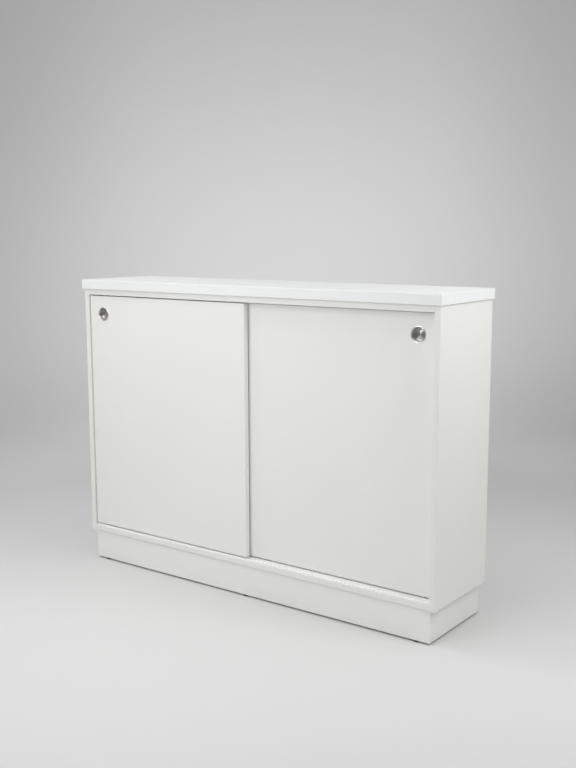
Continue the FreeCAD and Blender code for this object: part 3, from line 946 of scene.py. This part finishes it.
# Stage: a pale floor that sweeps up into a grey wall far behind

stageSetup = {
    "floorRadius": 1.7,
    "coveRadius": 2.7,
    "wallHeight": 4.6,
    "coveSteps": 32,
    "turnSteps": 128,
    "tone": (0.664, 0.664, 0.664),
    "fibreScale": 700,
    "fibreTone": 0.97,
    "rough": 0.9,
    "rise": (1.4, 1.95, 2.0, 2.5),        # distances: painted light makes the sweep's foot a little lighter
    "riseTone": 1.1,
    "shadeBand": (2.1, 2.8, 3.1, 4.3),       # and painted shade makes the sweep itself a little darker
    "shadeBandTone": 0.88,
    "across": (0.8054, 0.5927, 0),        # the direction of the view's width
    "middle": 0.0465,                     # where the view's middle lies along it
    "edges": (0.8, 1.9),                  # how far from that middle the painted shade at the sides runs
    "sideShadeTone": 0.87,
}


def addStage(setup):
    bpy.ops.object.select_all(action="DESELECT")
    bpy.ops.mesh.primitive_circle_add(vertices=setup["turnSteps"], radius=setup["floorRadius"],
                                      fill_type="TRIFAN", location=(0, 0, 0))
    stage = bpy.context.object
    stage.name = "stageFloor"
    bpy.ops.object.mode_set(mode="EDIT")
    bpy.ops.mesh.select_mode(type="EDGE")
    bpy.ops.mesh.select_all(action="DESELECT")
    bpy.ops.mesh.select_non_manifold()
    step = math.pi / 2 / setup["coveSteps"]
    reach = setup["floorRadius"]
    for i in range(setup["coveSteps"]):
        low, high = i * step, (i + 1) * step
        rise = setup["coveRadius"] * (math.cos(low) - math.cos(high))
        newReach = setup["floorRadius"] + setup["coveRadius"] * math.sin(high)
        bpy.ops.mesh.extrude_region_move(TRANSFORM_OT_translate={"value": (0, 0, rise)})
        grow = newReach / reach
        bpy.ops.transform.resize(value=(grow, grow, 1), center_override=(0, 0, 0))
        reach = newReach
    bpy.ops.mesh.extrude_region_move(TRANSFORM_OT_translate={"value": (0, 0, setup["wallHeight"])})
    bpy.ops.mesh.select_all(action="SELECT")
    bpy.ops.mesh.normals_make_consistent(inside=True)
    bpy.ops.object.mode_set(mode="OBJECT")
    bpy.ops.object.shade_smooth()
    paint(stage, paperMaterial(setup))


def paperMaterial(setup):
    material, tree, shader = newMaterial("stagePaper")
    point = objectPoint(tree)
    tone = setup["tone"]
    fibre = noise(tree, point, setup["fibreScale"], detail=3)
    color = mixColor(tree, fibre, rgba(tone), rgba(tone, setup["fibreTone"]))
    # painted light and shade: lighter at the sweep's foot, darker above it and towards the sides
    reach = vectorCalc(tree, "LENGTH", vectorCalc(tree, "MULTIPLY", point, (1, 1, 0)))
    for band in ("rise", "shadeBand"):
        near, full, fade, far = setup[band]
        mask = calc(tree, "MULTIPLY", smooth(tree, reach, near, full),
                    smooth(tree, reach, fade, far, 1.0, 0.0))
        color = mixColor(tree, mask, color, rgba(tone, setup[band + "Tone"]))
    along = vectorCalc(tree, "DOT_PRODUCT", point, setup["across"])
    offMiddle = calc(tree, "ABSOLUTE", calc(tree, "SUBTRACT", along, setup["middle"]))
    sides = smooth(tree, offMiddle, *setup["edges"])
    color = mixColor(tree, sides, color, rgba(tone, setup["sideShadeTone"]))
    feed(tree, shader.inputs["Base Color"], color)
    shader.inputs["Roughness"].default_value = setup["rough"]
    addBump(tree, shader, fibre, distance=0.0001, strength=0.2)
    return material


addStage(stageSetup)


# A dark card behind the camera, seen only in reflections, so that the finger pulls have
# something dark to mirror

cardSetup = {
    "place": (1.86, -2.44, 0.95),
    "turn": 36.4,
    "width": 1.2,
    "height": 1.7,
    "fold": 0.25,
    "felt": ((0.02, 0.02, 0.02), (0.035, 0.033, 0.03)),
    "feltScale": 400,
    "rough": 0.95,
}


def addCard(setup):
    bpy.ops.object.select_all(action="DESELECT")
    bpy.ops.mesh.primitive_plane_add(size=1, location=setup["place"],
                                     rotation=(math.pi / 2, 0, math.radians(setup["turn"])))
    card = bpy.context.object
    card.name = "stageCard"
    card.scale = (setup["width"], setup["height"], 1)
    bpy.ops.object.transform_apply(location=True, rotation=True, scale=True)
    # both upright edges fold back, so the card stands by itself
    bpy.ops.object.mode_set(mode="EDIT")
    bpy.ops.mesh.select_mode(type="EDGE")
    bpy.ops.mesh.select_all(action="DESELECT")
    bpy.ops.object.mode_set(mode="OBJECT")
    corners = card.data.vertices
    for edge in card.data.edges:
        a, b = (corners[i].co for i in edge.vertices)
        edge.select = abs(a.z - b.z) > setup["height"] / 2
    bpy.ops.object.mode_set(mode="EDIT")
    back = Matrix.Rotation(math.radians(setup["turn"]), 3, "Z") @ Vector((0, -setup["fold"], 0))
    bpy.ops.mesh.extrude_edges_move(TRANSFORM_OT_translate={"value": back})
    bpy.ops.object.mode_set(mode="OBJECT")
    card.visible_camera = False
    card.visible_diffuse = False
    card.visible_shadow = False
    material, tree, shader = newMaterial("cardFelt")
    felt = noise(tree, objectPoint(tree), setup["feltScale"], detail=3)
    dark, light = (rgba(color) for color in setup["felt"])
    feed(tree, shader.inputs["Base Color"], mixColor(tree, felt, dark, light))
    shader.inputs["Roughness"].default_value = setup["rough"]
    paint(card, material)


addCard(cardSetup)
print("stage set")


# Light: soft boxes at the front, the right end and above, a glow on the wall behind, and one
# lamp that shows only in reflections, as a streak in the finger pulls

everywhere = ("diffuse", "glossy")
lightSetup = {
    "pullStreak": {
        "place": (-0.6, -2.6, 1.9), "aim": (0, 0, 0.5), "size": (1.6, 1.2),
        "power": 23, "spread": 180, "reaches": ("glossy",),
    },
    "nearFront": {
        "place": (-0.15, -1.5, 1.05), "aim": (0, 0, 0.75), "size": (1.4, 0.35),
        "power": 6.3, "spread": 180, "reaches": ("diffuse",),
    },
    "nearTop": {
        "place": (0, -1.3, 1.55), "aim": (0, 0, 0.65), "size": (1.2, 0.5),
        "power": 4.9, "spread": 180, "reaches": everywhere,
    },
    "sideTop": {
        "place": (1.48, -0.05, 1.32), "aim": (0.6, 0, 0.72), "size": (0.6, 0.8),
        "power": 8.75, "spread": 180, "reaches": everywhere,
    },
    "topLeft": {
        "place": (-1.3, -0.6, 2.3), "aim": (-0.2, 0, 0.8), "size": (1.2, 1.2),
        "power": 16.4, "spread": 180, "reaches": everywhere,
    },
    "rightFloor": {
        "place": (1.0, 0.6, 1.7), "aim": (0.75, 0.35, 0), "size": (0.9, 0.9),
        "power": 0.55, "spread": 70, "reaches": everywhere,
    },
    "wallGlow": {
        "place": (-1.2, 1.7, 1.6), "aim": (-2.6, 3.6, 1.2), "size": (1.6, 1.0),
        "power": 19.9, "spread": 180, "reaches": everywhere,
    },
}
skySetup = {"color": (1, 1, 1), "strength": 0.93}


def addLight(name, setup):
    data = bpy.data.lights.new(name, "AREA")
    data.shape = "RECTANGLE"
    data.size, data.size_y = setup["size"]
    data.energy = setup["power"]
    data.spread = math.radians(setup["spread"])
    lamp = bpy.data.objects.new(name, data)
    scene.collection.objects.link(lamp)
    place = Vector(setup["place"])
    lamp.location = place
    lamp.rotation_euler = (Vector(setup["aim"]) - place).to_track_quat("-Z", "Y").to_euler()
    lamp.visible_camera = False
    lamp.visible_diffuse = "diffuse" in setup["reaches"]
    lamp.visible_glossy = "glossy" in setup["reaches"]


for lightName, setup in lightSetup.items():
    addLight(lightName, setup)


def addSky(setup):
    world = bpy.data.worlds.new("softSky")
    world.use_nodes = True
    sky = world.node_tree.nodes["Background"]
    sky.inputs["Color"].default_value = rgba(setup["color"])
    sky.inputs["Strength"].default_value = setup["strength"]
    scene.world = world


addSky(skySetup)
print("lights set")
